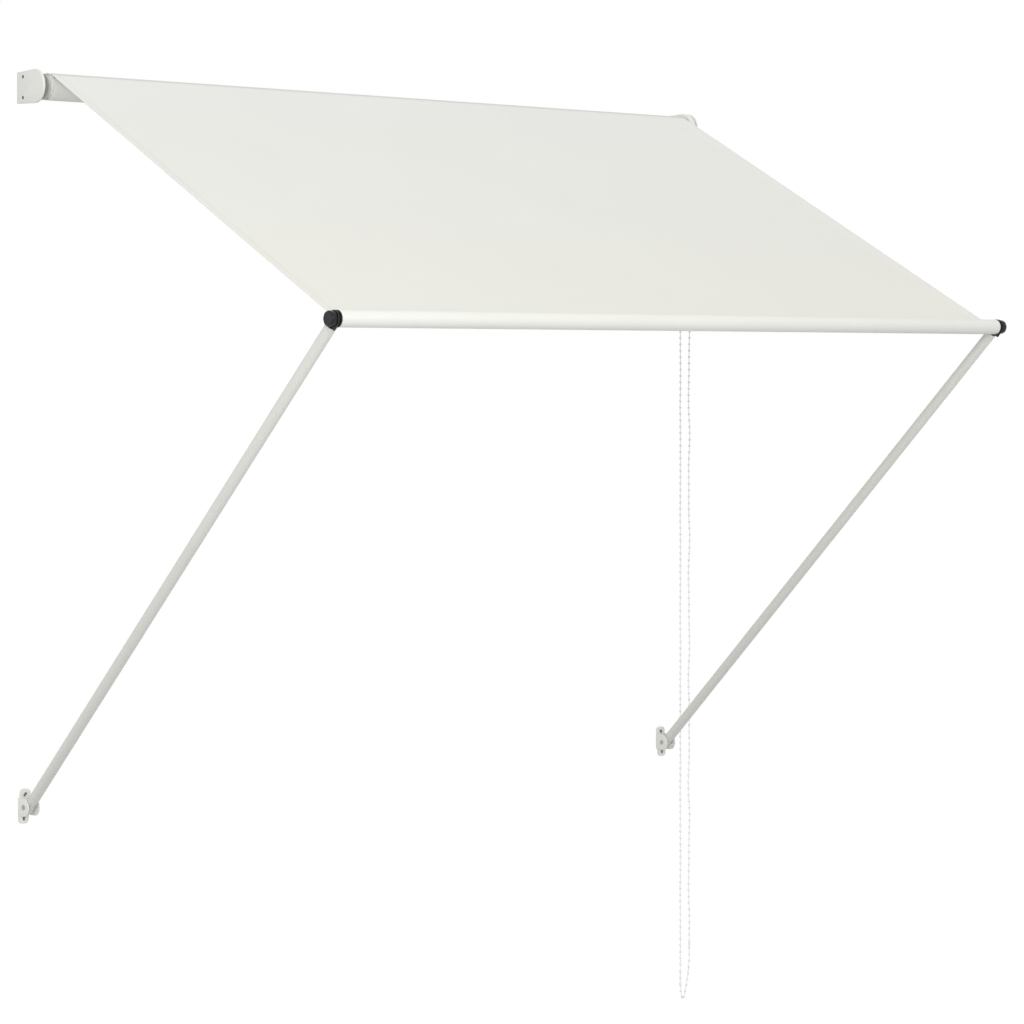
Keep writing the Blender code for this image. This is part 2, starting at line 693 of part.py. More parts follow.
def front_bar(axis):
    put("front_bar", flat(bar_section(), -BAR_LENGTH / 2, BAR_LENGTH / 2), PAINT, axis)
    hem_half = math.asin(CLOTH_T / 2 / KEDER_R)
    middle = Vector((math.cos(SLOT_ANGLE), math.sin(SLOT_ANGLE))) * CHANNEL_FROM_AXIS
    across = Vector((-math.sin(SLOT_ANGLE), math.cos(SLOT_ANGLE))) * CLOTH_T / 2
    out = Vector((math.cos(SLOT_ANGLE), math.sin(SLOT_ANGLE))) * (BAR_R - GAP)
    hem = arc(middle, KEDER_R, SLOT_ANGLE + hem_half, SLOT_ANGLE + math.tau - hem_half, 12)
    hem += [tuple(out - across), tuple(out + across)]
    start = HEM_LEFT - BAR_MID_X
    put("hem_keder", flat([hem], start, start + HEM_WIDTH), CLOTH, axis)


def bar_cap(side, axis):
    """The black plug in the bar's end, with a thin flange and the boss that the arm's eye turns on."""
    boss = CAP_FLANGE_T + GAP + EYE_T + FACE_T - GAP
    bore = BAR_R - BAR_WALL - GAP
    profile = [(BOLT_R + RUN, boss), (BOSS_R, boss), (BOSS_R, GAP + CAP_FLANGE_T),
               (CAP_FLANGE_R - 0.0004, GAP + CAP_FLANGE_T), (CAP_FLANGE_R, GAP + CAP_FLANGE_T - 0.0004),
               (CAP_FLANGE_R, GAP), (bore, GAP), (bore, -CAP_SHANK), (BOLT_R + RUN, -CAP_SHANK)]
    name = side + "_bar_cap"
    cap = put(name, revolved(profile, 32, closed=True), BLACK, axis)
    around = CHANNEL_R + CHANNEL_WALL + GAP
    turn = SLOT_ANGLE if side == "right" else math.pi - SLOT_ANGLE
    groove = cylinder(around, -CAP_SHANK - 0.002, GAP / 2, 20)
    shift(groove, CHANNEL_FROM_AXIS * math.cos(turn), CHANNEL_FROM_AXIS * math.sin(turn))
    combine(cap, groove)


def knob(side, axis):
    """A lobed hand knob with the bolt that is moulded into it."""
    low = GAP + CAP_FLANGE_T + GAP + EYE_T + FACE_T + GAP
    pivot = holder(side + "_knob_axis", (0, 0, low), (0, 0, 0), axis)
    points = []
    for i in range(KNOB_LOBES * 5):
        angle = math.tau * i / (KNOB_LOBES * 5)
        radius = KNOB_R - KNOB_LOBE_DEPTH * (1 - math.cos(KNOB_LOBES * angle)) / 2
        points.append((radius * math.cos(angle), radius * math.sin(angle)))
    body = put(side + "_knob", flat([points], 0, KNOB_T), BLACK, pivot)
    edge = body.modifiers.new("edge", "BEVEL")
    edge.width = KNOB_EDGE
    edge.segments = 2
    edge.limit_method = "ANGLE"
    edge.angle_limit = math.radians(60)
    combine(body, cylinder(BOLT_R + GAP, -0.002, BOLT_IN_KNOB + GAP, 16))
    bolt = [(0, BOLT_IN_KNOB), (BOLT_R, BOLT_IN_KNOB), (BOLT_R, 0.0006 - low - BOLT_IN_CAP),
            (BOLT_R - 0.0006, -low - BOLT_IN_CAP), (0, -low - BOLT_IN_CAP)]
    put(side + "_knob_bolt", revolved(bolt, 16), STEEL, pivot)


# Arms

def arm(side, turn_axis):
    """One arm tube with its pin hole, its plugged foot and its black head."""
    bore = ARM_R - ARM_WALL
    top = ARM_LENGTH - ARM_TOP_GAP
    body = put(side + "_arm_tube", tube(ARM_R, bore, -ARM_TAIL, top, 24), PAINT, turn_axis)
    cross = turned_like(cylinder(FOOT_PIN_R + RUN, -0.02, 0.02, 14), ("Y", math.pi / 2))
    combine(body, cross)
    plug = [(0, FOOT_PLUG_LENGTH), (bore - GAP, FOOT_PLUG_LENGTH), (bore - GAP, -ARM_TAIL + GAP),
            (0, -ARM_TAIL + GAP)]
    foot = put(side + "_foot_plug", revolved(plug, 20), NYLON, turn_axis)
    combine(foot, cross.copy())
    arm_head(side, turn_axis, bore)


def arm_head(side, turn_axis, bore):
    """The black end piece: an eye round the bar cap's boss, a lug below it and a stub in the arm tube."""
    outward = -1.0 if side == "left" else 1.0
    low = CAP_FLANGE_T + 2 * GAP - ARM_PLANE
    frame = holder(side + "_head_frame", (outward * low, 0, ARM_LENGTH), OUTWARD[side], turn_axis)
    bore_r = BOSS_R + RUN
    profile = [(FACE_R - 0.0005, EYE_T + FACE_T), (FACE_R, EYE_T + FACE_T - 0.0005), (FACE_R, EYE_T), (EYE_R, EYE_T),
               (EYE_R, 0), (bore_r, 0), (bore_r, EYE_T + FACE_T)]
    head = put(side + "_arm_head", revolved(profile, 32, closed=True), BLACK, frame)
    # The lug points straight down at rest; the head itself leans with the arm
    lean = ARM_REST_ANGLE * FRONT[side]
    lug = [(-LUG_WIDTH / 2, -FACE_R * 0.75, 0), (LUG_WIDTH / 2, -FACE_R * 0.75, 0), (0, -LUG_REACH, LUG_TIP_R)]
    lug_mesh = flat([rounded(lug)], EYE_T, EYE_T + FACE_T - 0.0002)
    combine(head, turned_like(lug_mesh, ("Z", lean)), "UNION")
    collar_top = ARM_TOP_GAP - GAP
    start = -bore_r - 0.002
    tongue = -collar_top - HEAD_TONGUE
    neck = flat([[(-0.0050, tongue), (0.0050, tongue), (0.0050, -collar_top), (0.0070, -collar_top), (0.0070, start),
                  (-0.0070, start), (-0.0070, -collar_top), (-0.0050, -collar_top)]],
                0.0001, EYE_T + FACE_T - 0.0004)
    combine(head, neck, "UNION")
    shoulder = -CAP_FLANGE_R - GAP
    stub = [(0, shoulder), (bore - GAP, shoulder), (bore - GAP, -collar_top - HEAD_STUB + 0.001),
            (bore - GAP - 0.001, -collar_top - HEAD_STUB), (0, -collar_top - HEAD_STUB)]
    inside = revolved(stub, 24)
    inside.transform(Matrix.Rotation(-math.pi / 2, 4, "X"))
    shift(inside, 0, 0, -low)
    combine(head, inside, "UNION")


def foot_bracket(side):
    """The wall foot: a plate with two slotted ears set off from each other, and two cheeks for the arm."""
    inward = 1.0 if side == "left" else -1.0
    frame = holder(side + "_foot_frame", (ARM_X[side], 0, -FOOT_DROP))
    half = CLEVIS_WIDTH / 2
    top = FOOT_HEIGHT / 2
    shoulder = CLEVIS_R
    corners = [(-FOOT_LOW_OUT, -top, FOOT_CORNER_R), (FOOT_LOW_IN, -top, FOOT_CORNER_R),
               (FOOT_LOW_IN, -shoulder, 0.002), (FOOT_TOP_IN, -shoulder + 0.004, 0.002),
               (FOOT_TOP_IN, top, FOOT_CORNER_R), (-FOOT_TOP_OUT, top, FOOT_CORNER_R),
               (-FOOT_TOP_OUT, shoulder, 0), (-half, shoulder, 0), (-half, -shoulder, 0),
               (-FOOT_LOW_OUT, -shoulder - 0.0004, 0)]
    outline = [(inward * x, y) for x, y in rounded(corners)]
    holes = []
    for x, z, tilt in zip(FOOT_HOLE_IN, FOOT_HOLE_Z, FOOT_HOLE_TILT):
        run = FOOT_SLOT_LENGTH / 2 - FOOT_SLOT_WIDTH / 2
        r = FOOT_SLOT_WIDTH / 2
        slot = arc((0, run), r, 0, math.pi, 6) + arc((0, -run), r, math.pi, math.tau, 6)
        spin = Matrix.Rotation(tilt, 2)
        holes.append([(inward * (x + (spin @ Vector(p)).x), z + (spin @ Vector(p)).y) for p in slot])
    plate = flat([outline] + holes, 0, FOOT_PLATE_T)
    plate.transform(Matrix.Rotation(math.pi / 2, 4, "X"))
    body = put(side + "_foot_bracket", plate, PAINT, frame)
    for edge in (-half, half - CLEVIS_T):
        cheek = [(0, -CLEVIS_R)] + arc((FOOT_OFF_WALL, 0), CLEVIS_R, -math.pi / 2, math.pi / 2, 12)
        cheek += [(0, CLEVIS_R)]
        cheek = [(max(x, FOOT_PLATE_T / 2), y) for x, y in cheek]
        hole = ring((FOOT_OFF_WALL, 0), FOOT_PIN_R + GAP, 16)
        mesh = flat([[(-x, y) for x, y in cheek], [(-x, y) for x, y in hole]], edge, edge + CLEVIS_T)
        mesh.transform(Matrix(((0, 0, 1), (1, 0, 0), (0, 1, 0))).to_4x4())
        combine(body, mesh, "UNION")
    pin_half = half + GAP
    pin = [(0, pin_half + FOOT_PIN_HEAD_T), (FOOT_PIN_HEAD_R * 0.6, pin_half + FOOT_PIN_HEAD_T),
           (FOOT_PIN_HEAD_R, pin_half + 0.0004), (FOOT_PIN_HEAD_R, pin_half), (FOOT_PIN_R, pin_half),
           (FOOT_PIN_R, -pin_half), (FOOT_PIN_HEAD_R, -pin_half), (FOOT_PIN_HEAD_R, -pin_half - 0.0004),
           (FOOT_PIN_HEAD_R * 0.6, -pin_half - FOOT_PIN_HEAD_T), (0, -pin_half - FOOT_PIN_HEAD_T)]
    put(side + "_foot_pin", revolved(pin, 20), STEEL, frame, (0, -FOOT_OFF_WALL, 0), ALONG_X)


def build():
    left_bracket()
    right_bracket()
    roller()
    cloth_sheet()
    clutch_hub()
    clutch_spring()
    sprocket()
    chain_guard()
    bead_chain()
    bar_axis = holder("bar_axis", (BAR_MID_X, BAR_Y, BAR_Z), ALONG_X)
    front_bar(bar_axis)
    for side in SIDES:
        turn_axis = holder(side + "_arm_axis", (ARM_X[side], -FOOT_OFF_WALL, -FOOT_DROP),
                           (ARM_REST_ANGLE, 0, 0))
        arm(side, turn_axis)
        foot_bracket(side)
        end_axis = holder(side + "_bar_end", (BAR_END_X[side], BAR_Y, BAR_Z), OUTWARD[side])
        bar_cap(side, end_axis)
        knob(side, end_axis)


build()
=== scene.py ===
"""The look of the drop-arm awning: its materials, cloth, bead chain, studio and camera.

Metres, +Z up, in the row frame: X along the wall, the wall is Y = 0, the cloth goes out towards -Y.
"""
import json
import math

import bmesh
import bpy
from mathutils import Matrix, Vector


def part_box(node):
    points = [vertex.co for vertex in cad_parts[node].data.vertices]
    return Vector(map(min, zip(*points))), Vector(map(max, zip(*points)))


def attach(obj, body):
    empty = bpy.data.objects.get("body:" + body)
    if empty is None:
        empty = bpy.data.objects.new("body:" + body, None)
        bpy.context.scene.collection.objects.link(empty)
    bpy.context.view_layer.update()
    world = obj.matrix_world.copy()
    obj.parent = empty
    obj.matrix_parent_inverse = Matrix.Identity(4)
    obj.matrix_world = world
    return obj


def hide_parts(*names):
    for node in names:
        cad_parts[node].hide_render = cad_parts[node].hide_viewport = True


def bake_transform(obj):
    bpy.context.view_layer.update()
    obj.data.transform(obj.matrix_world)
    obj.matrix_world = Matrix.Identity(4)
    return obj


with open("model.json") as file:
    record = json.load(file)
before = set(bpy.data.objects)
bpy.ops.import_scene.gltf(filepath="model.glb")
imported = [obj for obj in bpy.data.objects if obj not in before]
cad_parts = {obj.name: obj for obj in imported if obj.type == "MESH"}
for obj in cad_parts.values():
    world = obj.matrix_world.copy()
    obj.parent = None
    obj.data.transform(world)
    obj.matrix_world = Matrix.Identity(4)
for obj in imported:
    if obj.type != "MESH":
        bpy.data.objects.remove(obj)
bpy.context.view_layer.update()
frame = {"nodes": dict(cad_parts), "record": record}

# Camera and studio
CAMERA_AT = (-2.721, -4.4645, -0.4546)
CAMERA_TURN = math.radians(-39.913)
CAMERA_LENS = 111.76
CAMERA_SENSOR = 36
CAMERA_SHIFT_Y = -0.1399
FLOOR_AT = (0.7, 0, -1.70)
FLOOR_SIZE = 40
FLOOR_GREY = 0.58
FLOOR_WHITE = 0.95
# The share of the seen floor that keeps the shadow, and the glow of the rest: both together come out at 1
FLOOR_SHADOW = 0.18
FLOOR_GLOW = 1.046
BACKDROP = (1.0, 1.0, 1.0)
WORLD_LOW = 0.50
WORLD_HIGH = 0.90
LAMPS = (
    ("key", (-2.9, -3.5, 0.1), (0.5, -0.4, -0.3), 2.4, 62),
    ("front", (0.6, -4.8, 1.2), (0.7, -0.4, -0.3), 2.4, 35),
)

# Colours, linear
CREAM = (0.800, 0.806, 0.758)
CREAM_CLOTH = (0.805, 0.812, 0.770)
# The cloth's colour is multiplied by this towards the bar, which makes it darker and warmer there
CLOTH_AT_BAR = (0.955, 0.945, 0.915)
BLACK = (0.0065, 0.0065, 0.007)
WHITE = (0.91, 0.915, 0.90)
# The arms' cream coat is darkened by this share: painted shade
ARM_PAINTED_SHADE = 0.88
# The roller's end plugs are grey: painted shade in the gap beside the brackets
PLUG_PAINTED_SHADE = (0.50, 0.505, 0.48)
# The collars in the foot plates' slots are dark grey: painted shade inside the slots
COLLAR_PAINTED_SHADE = (0.24, 0.24, 0.23)
STEEL_GREY = (0.17, 0.17, 0.165)
ZINC = (0.40, 0.40, 0.39)

# Looks of the surfaces
NOISE_LOW = 0.3
NOISE_HIGH = 0.7
GRAIN_DEPTH = 0.0001
WEAVE_DEPTH = 0.0002
WEAVE_SCALE = 420.0
# Where the cloth turns darker and warmer: from this Y to that Y
BAR_TINT_FROM_Y = -0.10
BAR_TINT_TO_Y = -0.84

# Places and sizes that the pieces share with the CAD model
ROLLER_AT = Vector((0.0, -0.053, 0.0))
ROLLER_R = 0.019
GAP = 0.0003
TURNS = 5
TURN_PITCH = 0.0005
TURN_T = 0.00042
ROLL_LEFT = -0.0082
ROLL_RIGHT = 1.3809
HEM_LEFT = -0.0145
HEM_RIGHT = 1.3765
BAR_AT = Vector((0.681, -0.844705, -0.383539))
BAR_R = 0.0125
SLOT_ANGLE = math.radians(15.0)
SPROCKET_X = 1.3960
POCKETS = 6
BEAD_PITCH = 0.012
BEAD_R = 0.00225
KNOB_T = 0.0099
KNOB_LOBES = 8
FOOT_DROP = 1.164
FOOT_X = {"left": -0.019, "right": 1.381}
FOOT_SLOTS = {"upper": ((0.0006, 0.0190), math.radians(-40.0)), "lower": ((-0.0020, -0.0192), 0.0)}
FOOT_SLOT_WIDTH = 0.0055
FOOT_SLOT_LENGTH = 0.0085
OUTWARD = {"left": -1.0, "right": 1.0}

# Cloth
CLOTH_T = 0.0006
CLOTH_LIFT = 0.0004
CLOTH_SAG = 0.0022
SIDE_HEM = 0.012
HEM_LIFT = 0.0003
# Two faint waves of the cloth, multiplied: one across it, and one on the slant
WAVE_HEIGHT = 0.0004
WAVE_ACROSS = 23
WAVE_PHASE = 2.1
WAVE_OUT = 5.3
WAVE_SLANT = 11
# Grid columns: places near an edge and the start of the even middle, in widths of the hem
EDGE_COLUMNS = (0, 0.06, 0.5, 0.97, 1.03, 1.6, 2.4, 3.4)
MIDDLE_FROM = 4.4
MIDDLE_COLUMNS = 100
NEAR_ROWS = 42
NEAR_PITCH = 0.0012
FAR_ROWS = 80
# Puckers: height, pitch and slant across the cloth, and where they are, from the side and from the bar
PUCKER_HEIGHT = 0.00040
PUCKER_PITCH = 0.0085
PUCKER_SLANT = 4
PUCKER_EVERYWHERE = 0.10
PUCKER_FROM_SIDE = 0.030
PUCKER_MIDDLE = 0.018
PUCKER_SPREAD = 0.016
PUCKER_START = 0.006
STITCH_PITCH = 0.0035
STITCH_R = 0.0003
STITCH_HALF = 0.36
STITCH_IN_HEM = 0.80
ROLL_STEPS = 90
ROLL_EDGE = 0.0005
ROLL_SHARP = 40

# Bead chain
STRING_R = 0.0008
BEAD_STRETCH = 1.15
BEAD_SEAM = 1.015
BEAD_ROWS = 9
BEAD_SIDES = 12
STRING_FROM_BEAD = 1.25
STRAND_STEPS = 100
CURVE_STEPS = 24
STRAND_END = -1.0
LOOP_LEAD_IN = 0.02
LOOP_LEAD_OUT = 0.03
# Sway of the strands: its height, the phase of the front strand and of the other, and its two waves. It
# starts under the sprocket and ends over the loop's turn, each within a fade
CHAIN_SWAY = 0.0008
SWAY_PHASE = {True: 1.0, False: 2.6}
SWAY_WAVE = 34
SWAY_RIPPLE = 61
SWAY_RIPPLE_SHARE = 0.6
SWAY_START = 0.12
SWAY_START_FADE = 0.2
SWAY_END_FADE = 0.15
SWAY_ACROSS = 0.5
SWAY_ALONG = 0.9
# The loop's turn at the chain's bottom, down the front strand and up the other: Y about the axis, and Z
LOOP = ((0.0120, -1.600), (0.0117, -1.622), (0.0102, -1.640), (0.0042, -1.6506), (0.0004, -1.641),
        (-0.0030, -1.626), (-0.0075, -1.609), (-0.0113, -1.586), (-0.0130, -1.560), (-0.0129, -1.535))

# Knobs, screws and collars, with the angles in degrees over which their edges stay sharp. The knob's profile
# is depth and reach, in shares of its thickness and radius, and its lobes fade out towards the face's middle
SHARP = 45
KNOB_SHARP = 50
KNOB_R = 0.0117
KNOB_LOBE_DEPTH = 0.022
KNOB_SIDES = 12
KNOB_LOBES_FROM = 0.55
KNOB_LOBES_FADE = 0.3
KNOB_LEAST_REACH = 0.02
KNOB_PROFILE = (
    (0.0, 0.30), (0.0, 0.90), (0.04, 0.97), (0.12, 1.0), (0.72, 1.0), (0.84, 0.985), (0.93, 0.945),
    (0.985, 0.875), (1.0, 0.79), (0.995, 0.70), (0.975, 0.60), (0.965, 0.50), (0.97, 0.25), (0.972, 0.0),
)
# A screw's rings: radius and height over the cover, from the shank to the head's top, then the recess's radii
SCREW_HEAD_R = 0.0024
SCREW_TOP = 0.0009
SCREW_RINGS = (
    (0.0009, -0.0030), (0.0012, -0.0026), (0.0012, 0.00005), (SCREW_HEAD_R, 0.00005), (SCREW_HEAD_R, 0.0003),
    (SCREW_HEAD_R * 0.93, 0.0006), (SCREW_HEAD_R * 0.75, 0.0008), (0.0014, SCREW_TOP),
)
RECESS_RINGS = (0.0013, 0.0009, 0.0004, 0.0002)
RECESS_DEPTH = 0.0006
RECESS_HALF = 0.00032
# A collar's rings: how much less than the slot's radius, and height over the plate's back. The dimple's is
# a radius and a height
COLLAR_CLEARANCE = 0.0001
COLLAR_RINGS = (
    (0.0002, 0.0001), (0.0, 0.0003), (0.0, 0.0014), (0.0003, 0.0018), (0.0009, 0.0018), (0.0012, 0.0014),
    (0.0013, 0.0008),
)
COLLAR_DIMPLE = (0.0006, 0.0006)
SMALL_SIDES = 32


# Materials

def nodes_for(name, colour, roughness, metallic=0.0):
    """A new Principled material and its node tools."""
    made = bpy.data.materials.new(name)
    made.use_nodes = True
    tree = made.node_tree
    shader = tree.nodes["Principled BSDF"]
    shader.inputs["Base Color"].default_value = (*colour, 1)
    shader.inputs["Roughness"].default_value = roughness
    shader.inputs["Metallic"].default_value = metallic
    return made, tree, shader


def coordinates(tree):
    return tree.nodes.new("ShaderNodeTexCoord").outputs["Object"]


def noise(tree, scale, detail=2.0):
    """A noise value in metres of the object."""
    texture = tree.nodes.new("ShaderNodeTexNoise")
    texture.inputs["Scale"].default_value = scale
    texture.inputs["Detail"].default_value = detail
    tree.links.new(coordinates(tree), texture.inputs["Vector"])
    return texture.outputs["Fac"]


def ramp(tree, value, stops):
    """A colour ramp over a value, with (place, colour) stops."""
    node = tree.nodes.new("ShaderNodeValToRGB")
    for element, (place, colour) in zip(node.color_ramp.elements, stops):
        element.position = place
        element.color = (*colour, 1)
    tree.links.new(value, node.inputs["Fac"])
    return node.outputs["Color"]


def span(tree, value, low, high):
    """A noise value mapped to low to high."""
    node = tree.nodes.new("ShaderNodeMapRange")
    node.inputs["From Min"].default_value = NOISE_LOW
    node.inputs["From Max"].default_value = NOISE_HIGH
    node.inputs["To Min"].default_value = low
    node.inputs["To Max"].default_value = high
    tree.links.new(value, node.inputs["Value"])
    return node.outputs["Result"]


def bump(tree, shader, height, strength, distance=GRAIN_DEPTH):
    node = tree.nodes.new("ShaderNodeBump")
    node.inputs["Strength"].default_value = strength
    node.inputs["Distance"].default_value = distance
    tree.links.new(height, node.inputs["Height"])
    tree.links.new(node.outputs["Normal"], shader.inputs["Normal"])


def tinted(colour, amount):
    return tuple(c * amount for c in colour)


def uneven(tree, colour, scale, detail, dark, light, low=NOISE_LOW, high=NOISE_HIGH):
    """A colour that wanders between two shades of one colour."""
    stops = [(low, tinted(colour, dark)), (high, tinted(colour, light))]
    return ramp(tree, noise(tree, scale, detail), stops)


def moulded(name, colour, roughness, mottle, gloss, grain, metallic=0.0):
    """A surface with uneven colour, gloss and grain.

    mottle is the scale, detail and two shades of the colour, gloss the scale, detail and two values of the
    roughness, and grain the scale, detail and strength of the bump.
    """
    made, tree, shader = nodes_for(name, colour, roughness, metallic)
    if mottle:
        tree.links.new(uneven(tree, colour, *mottle), shader.inputs["Base Color"])
    tree.links.new(span(tree, noise(tree, *gloss[:2]), *gloss[2:]), shader.inputs["Roughness"])
    bump(tree, shader, noise(tree, *grain[:2]), grain[2])
    return made, shader


def powder_coat(name="powder_coat", shade=1.0):
    """Cream powder coat: fine orange peel and a little unevenness in gloss. A shade below 1 darkens the
    colour as painted shade, as on the arms.
    """
    made, shader = moulded(name, tinted(CREAM, shade), 0.36, (9.0, 3.0, 0.99, 1.008),
                           (140.0, 2.0, 0.32, 0.41), (700.0, 1.0, 0.05))
    shader.inputs["Specular IOR Level"].default_value = 0.45
    return made


def cream_plastic():
    return moulded("cream_moulding", CREAM, 0.45, (14.0, 3.0, 0.98, 1.005),
                   (300.0, 2.0, 0.40, 0.52), (1200.0, 1.0, 0.06))[0]


def weave(tree):
    """The height of a plain weave: two sets of bands across each other."""
    joined = tree.nodes.new("ShaderNodeMath")
    joined.operation = "MULTIPLY"
    for i, direction in enumerate("XY"):
        wave = tree.nodes.new("ShaderNodeTexWave")
        wave.wave_type = "BANDS"
        wave.bands_direction = direction
        wave.inputs["Scale"].default_value = WEAVE_SCALE
        wave.inputs["Distortion"].default_value = 0.6
        wave.inputs["Detail"].default_value = 1.0
        tree.links.new(coordinates(tree), wave.inputs["Vector"])
        tree.links.new(wave.outputs["Fac"], joined.inputs[i])
    return joined.outputs["Value"]


def cloth():
    """A plain acrylic cloth: a fine weave, slightly uneven yarns, a soft sheen, darker and warmer towards the
    bar.
    """
    made, tree, shader = nodes_for("awning_cloth", CREAM_CLOTH, 0.88)
    parts = tree.nodes.new("ShaderNodeSeparateXYZ")
    tree.links.new(coordinates(tree), parts.inputs["Vector"])
    out = tree.nodes.new("ShaderNodeMapRange")
    out.inputs["From Min"].default_value = BAR_TINT_FROM_Y
    out.inputs["From Max"].default_value = BAR_TINT_TO_Y
    tree.links.new(parts.outputs["Y"], out.inputs["Value"])
    towards_bar = tree.nodes.new("ShaderNodeMix")
    towards_bar.data_type = "RGBA"
    towards_bar.blend_type = "MULTIPLY"
    towards_bar.inputs["B"].default_value = (*CLOTH_AT_BAR, 1)
    tree.links.new(out.outputs["Result"], towards_bar.inputs["Factor"])
    tree.links.new(uneven(tree, CREAM_CLOTH, 5.0, 4.0, 0.99, 1.006), towards_bar.inputs["A"])
    tree.links.new(towards_bar.outputs["Result"], shader.inputs["Base Color"])
    bump(tree, shader, weave(tree), 0.25, WEAVE_DEPTH)
    shader.inputs["Sheen Weight"].default_value = 0.15
    shader.inputs["Sheen Roughness"].default_value = 0.5
    shader.inputs["Specular IOR Level"].default_value = 0.25
    return made


def black_moulding():
    """Black moulded nylon: satin, with a faint grain and lighter scuffs."""
    made, shader = moulded("black_moulding", BLACK, 0.38, (60.0, 4.0, 1.0, 2.2, 0.35, 0.75),
                           (400.0, 2.0, 0.30, 0.46), (1500.0, 1.0, 0.12))
    shader.inputs["Specular IOR Level"].default_value = 0.3
    return made


def painted_shade_moulding(name, colour):
    """Grey moulded nylon for the roller's end plugs and the foot plates' collars: painted shade, for the
    shaded gap beside the roller's brackets and the shade inside the foot plates' slots.
    """
    return moulded(name, colour, 0.5, (30.0, 3.0, 0.94, 1.05),
                   (300.0, 2.0, 0.42, 0.56), (1200.0, 1.0, 0.08))[0]


def zinc():
    return moulded("zinc_plate", ZINC, 0.36, None, (220.0, 3.0, 0.25, 0.42), (900.0, 2.0, 0.1), 1.0)[0]


def dark_steel():
    return moulded("dark_steel", STEEL_GREY, 0.42, None,
                   (500.0, 3.0, 0.35, 0.55), (1500.0, 2.0, 0.15), 0.4)[0]


def nylon():
    made, shader = moulded("white_moulding", WHITE, 0.35, None, (350.0, 2.0, 0.30, 0.42), (1800.0, 1.0, 0.1))
    shader.inputs["Subsurface Weight"].default_value = 0.05
    shader.inputs["Subsurface Radius"].default_value = (0.002, 0.002, 0.002)
    return made


FINISH = {
    "cream_paint": powder_coat(),
    "cream_plastic": cream_plastic(),
    "cream_cloth": cloth(),
    "black_plastic": black_moulding(),
    "zinc_steel": zinc(),
    "dark_steel": dark_steel(),
    "white_nylon": nylon(),
}


def smooth_by_angle():
    """Node tools that shade faces smooth and keep the sharper edges sharp."""
    group = bpy.data.node_groups.new("smooth_by_angle", "GeometryNodeTree")
    group.interface.new_socket("Geometry", in_out="INPUT", socket_type="NodeSocketGeometry")
    group.interface.new_socket("Geometry", in_out="OUTPUT", socket_type="NodeSocketGeometry")
    start = group.nodes.new("NodeGroupInput")
    end = group.nodes.new("NodeGroupOutput")
    smooth = group.nodes.new("GeometryNodeSetShadeSmooth")
    angle = group.nodes.new("GeometryNodeInputMeshEdgeAngle")
    over = group.nodes.new("FunctionNodeCompare")
    over.operation = "GREATER_THAN"
    over.inputs["B"].default_value = SHARP_ANGLE
    keep = group.nodes.new("GeometryNodeStoreNamedAttribute")
    keep.data_type = "BOOLEAN"
    keep.domain = "EDGE"
    keep.inputs["Name"].default_value = "sharp_edge"
    group.links.new(start.outputs["Geometry"], smooth.inputs["Geometry"])
    group.links.new(smooth.outputs["Geometry"], keep.inputs["Geometry"])
    group.links.new(angle.outputs["Unsigned Angle"], over.inputs["A"])
    group.links.new(over.outputs["Result"], keep.inputs["Value"])
    group.links.new(keep.outputs["Geometry"], end.inputs["Geometry"])
    return group


# Nodes with a finish of their own: the arms' coat darkened as painted shade, and the roller's end plugs grey
# as painted shade
OWN_FINISH = {
    "left_arm_tube": powder_coat("arm_powder_coat_painted_shade", ARM_PAINTED_SHADE),
    "idler_plug": painted_shade_moulding("painted_shade_moulding", PLUG_PAINTED_SHADE),
}
OWN_FINISH["right_arm_tube"] = OWN_FINISH["left_arm_tube"]
OWN_FINISH["drive_plug"] = OWN_FINISH["idler_plug"]

# The collars' dark grey is painted shade inside the slots
COLLAR_PAINTED_SHADE_FINISH = painted_shade_moulding("collar_painted_shade", COLLAR_PAINTED_SHADE)

# Edges over these angles stay sharp or are rounded, points this near are joined, and EDGES has the rounding's
# width in metres
SHARP_ANGLE = math.radians(32)
ROUNDED_ANGLE = math.radians(40)
WELD_DISTANCE = 0.000005
EDGES = {
    "left_foot_bracket": 0.0006, "right_foot_bracket": 0.0006,
    "left_roller_bracket": 0.0004, "right_roller_bracket": 0.0004,
    "right_bracket_cover": 0.0006, "chain_guard": 0.0004,
    "left_arm_head": 0.0004, "right_arm_head": 0.0004,
    "left_arm_tube": 0.0002, "right_arm_tube": 0.0002, "front_bar": 0.0002,
}


def dress_nodes():
    """Every CAD node takes the finish of its slot in the record, joined faces and softened edges."""
    tools = smooth_by_angle()
    for entry in frame["record"]["subparts"]:
        obj = frame["nodes"][entry["node"]]
        made = OWN_FINISH.get(entry["node"], FINISH[entry["material_slot"]])
        for slot in obj.material_slots:
            slot.material = made
        join = obj.modifiers.new("join", "WELD")
        join.merge_threshold = WELD_DISTANCE
        if entry["node"] in EDGES:
            edge = obj.modifiers.new("edge", "BEVEL")
            edge.width = EDGES[entry["node"]]
            edge.segments = 2
            edge.limit_method = "ANGLE"
            edge.angle_limit = ROUNDED_ANGLE
        shade = obj.modifiers.new("shade", "NODES")
        shade.node_group = tools


# Tools for the pieces

def link(name, mesh, slot_name, body=None):
    """A new piece of the scene with its slot's finish, riding on a body."""
    obj = bpy.data.objects.new(name, mesh)
    bpy.context.scene.collection.objects.link(obj)
    mesh.materials.append(FINISH[slot_name])
    if body:
        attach(obj, body)
    return obj


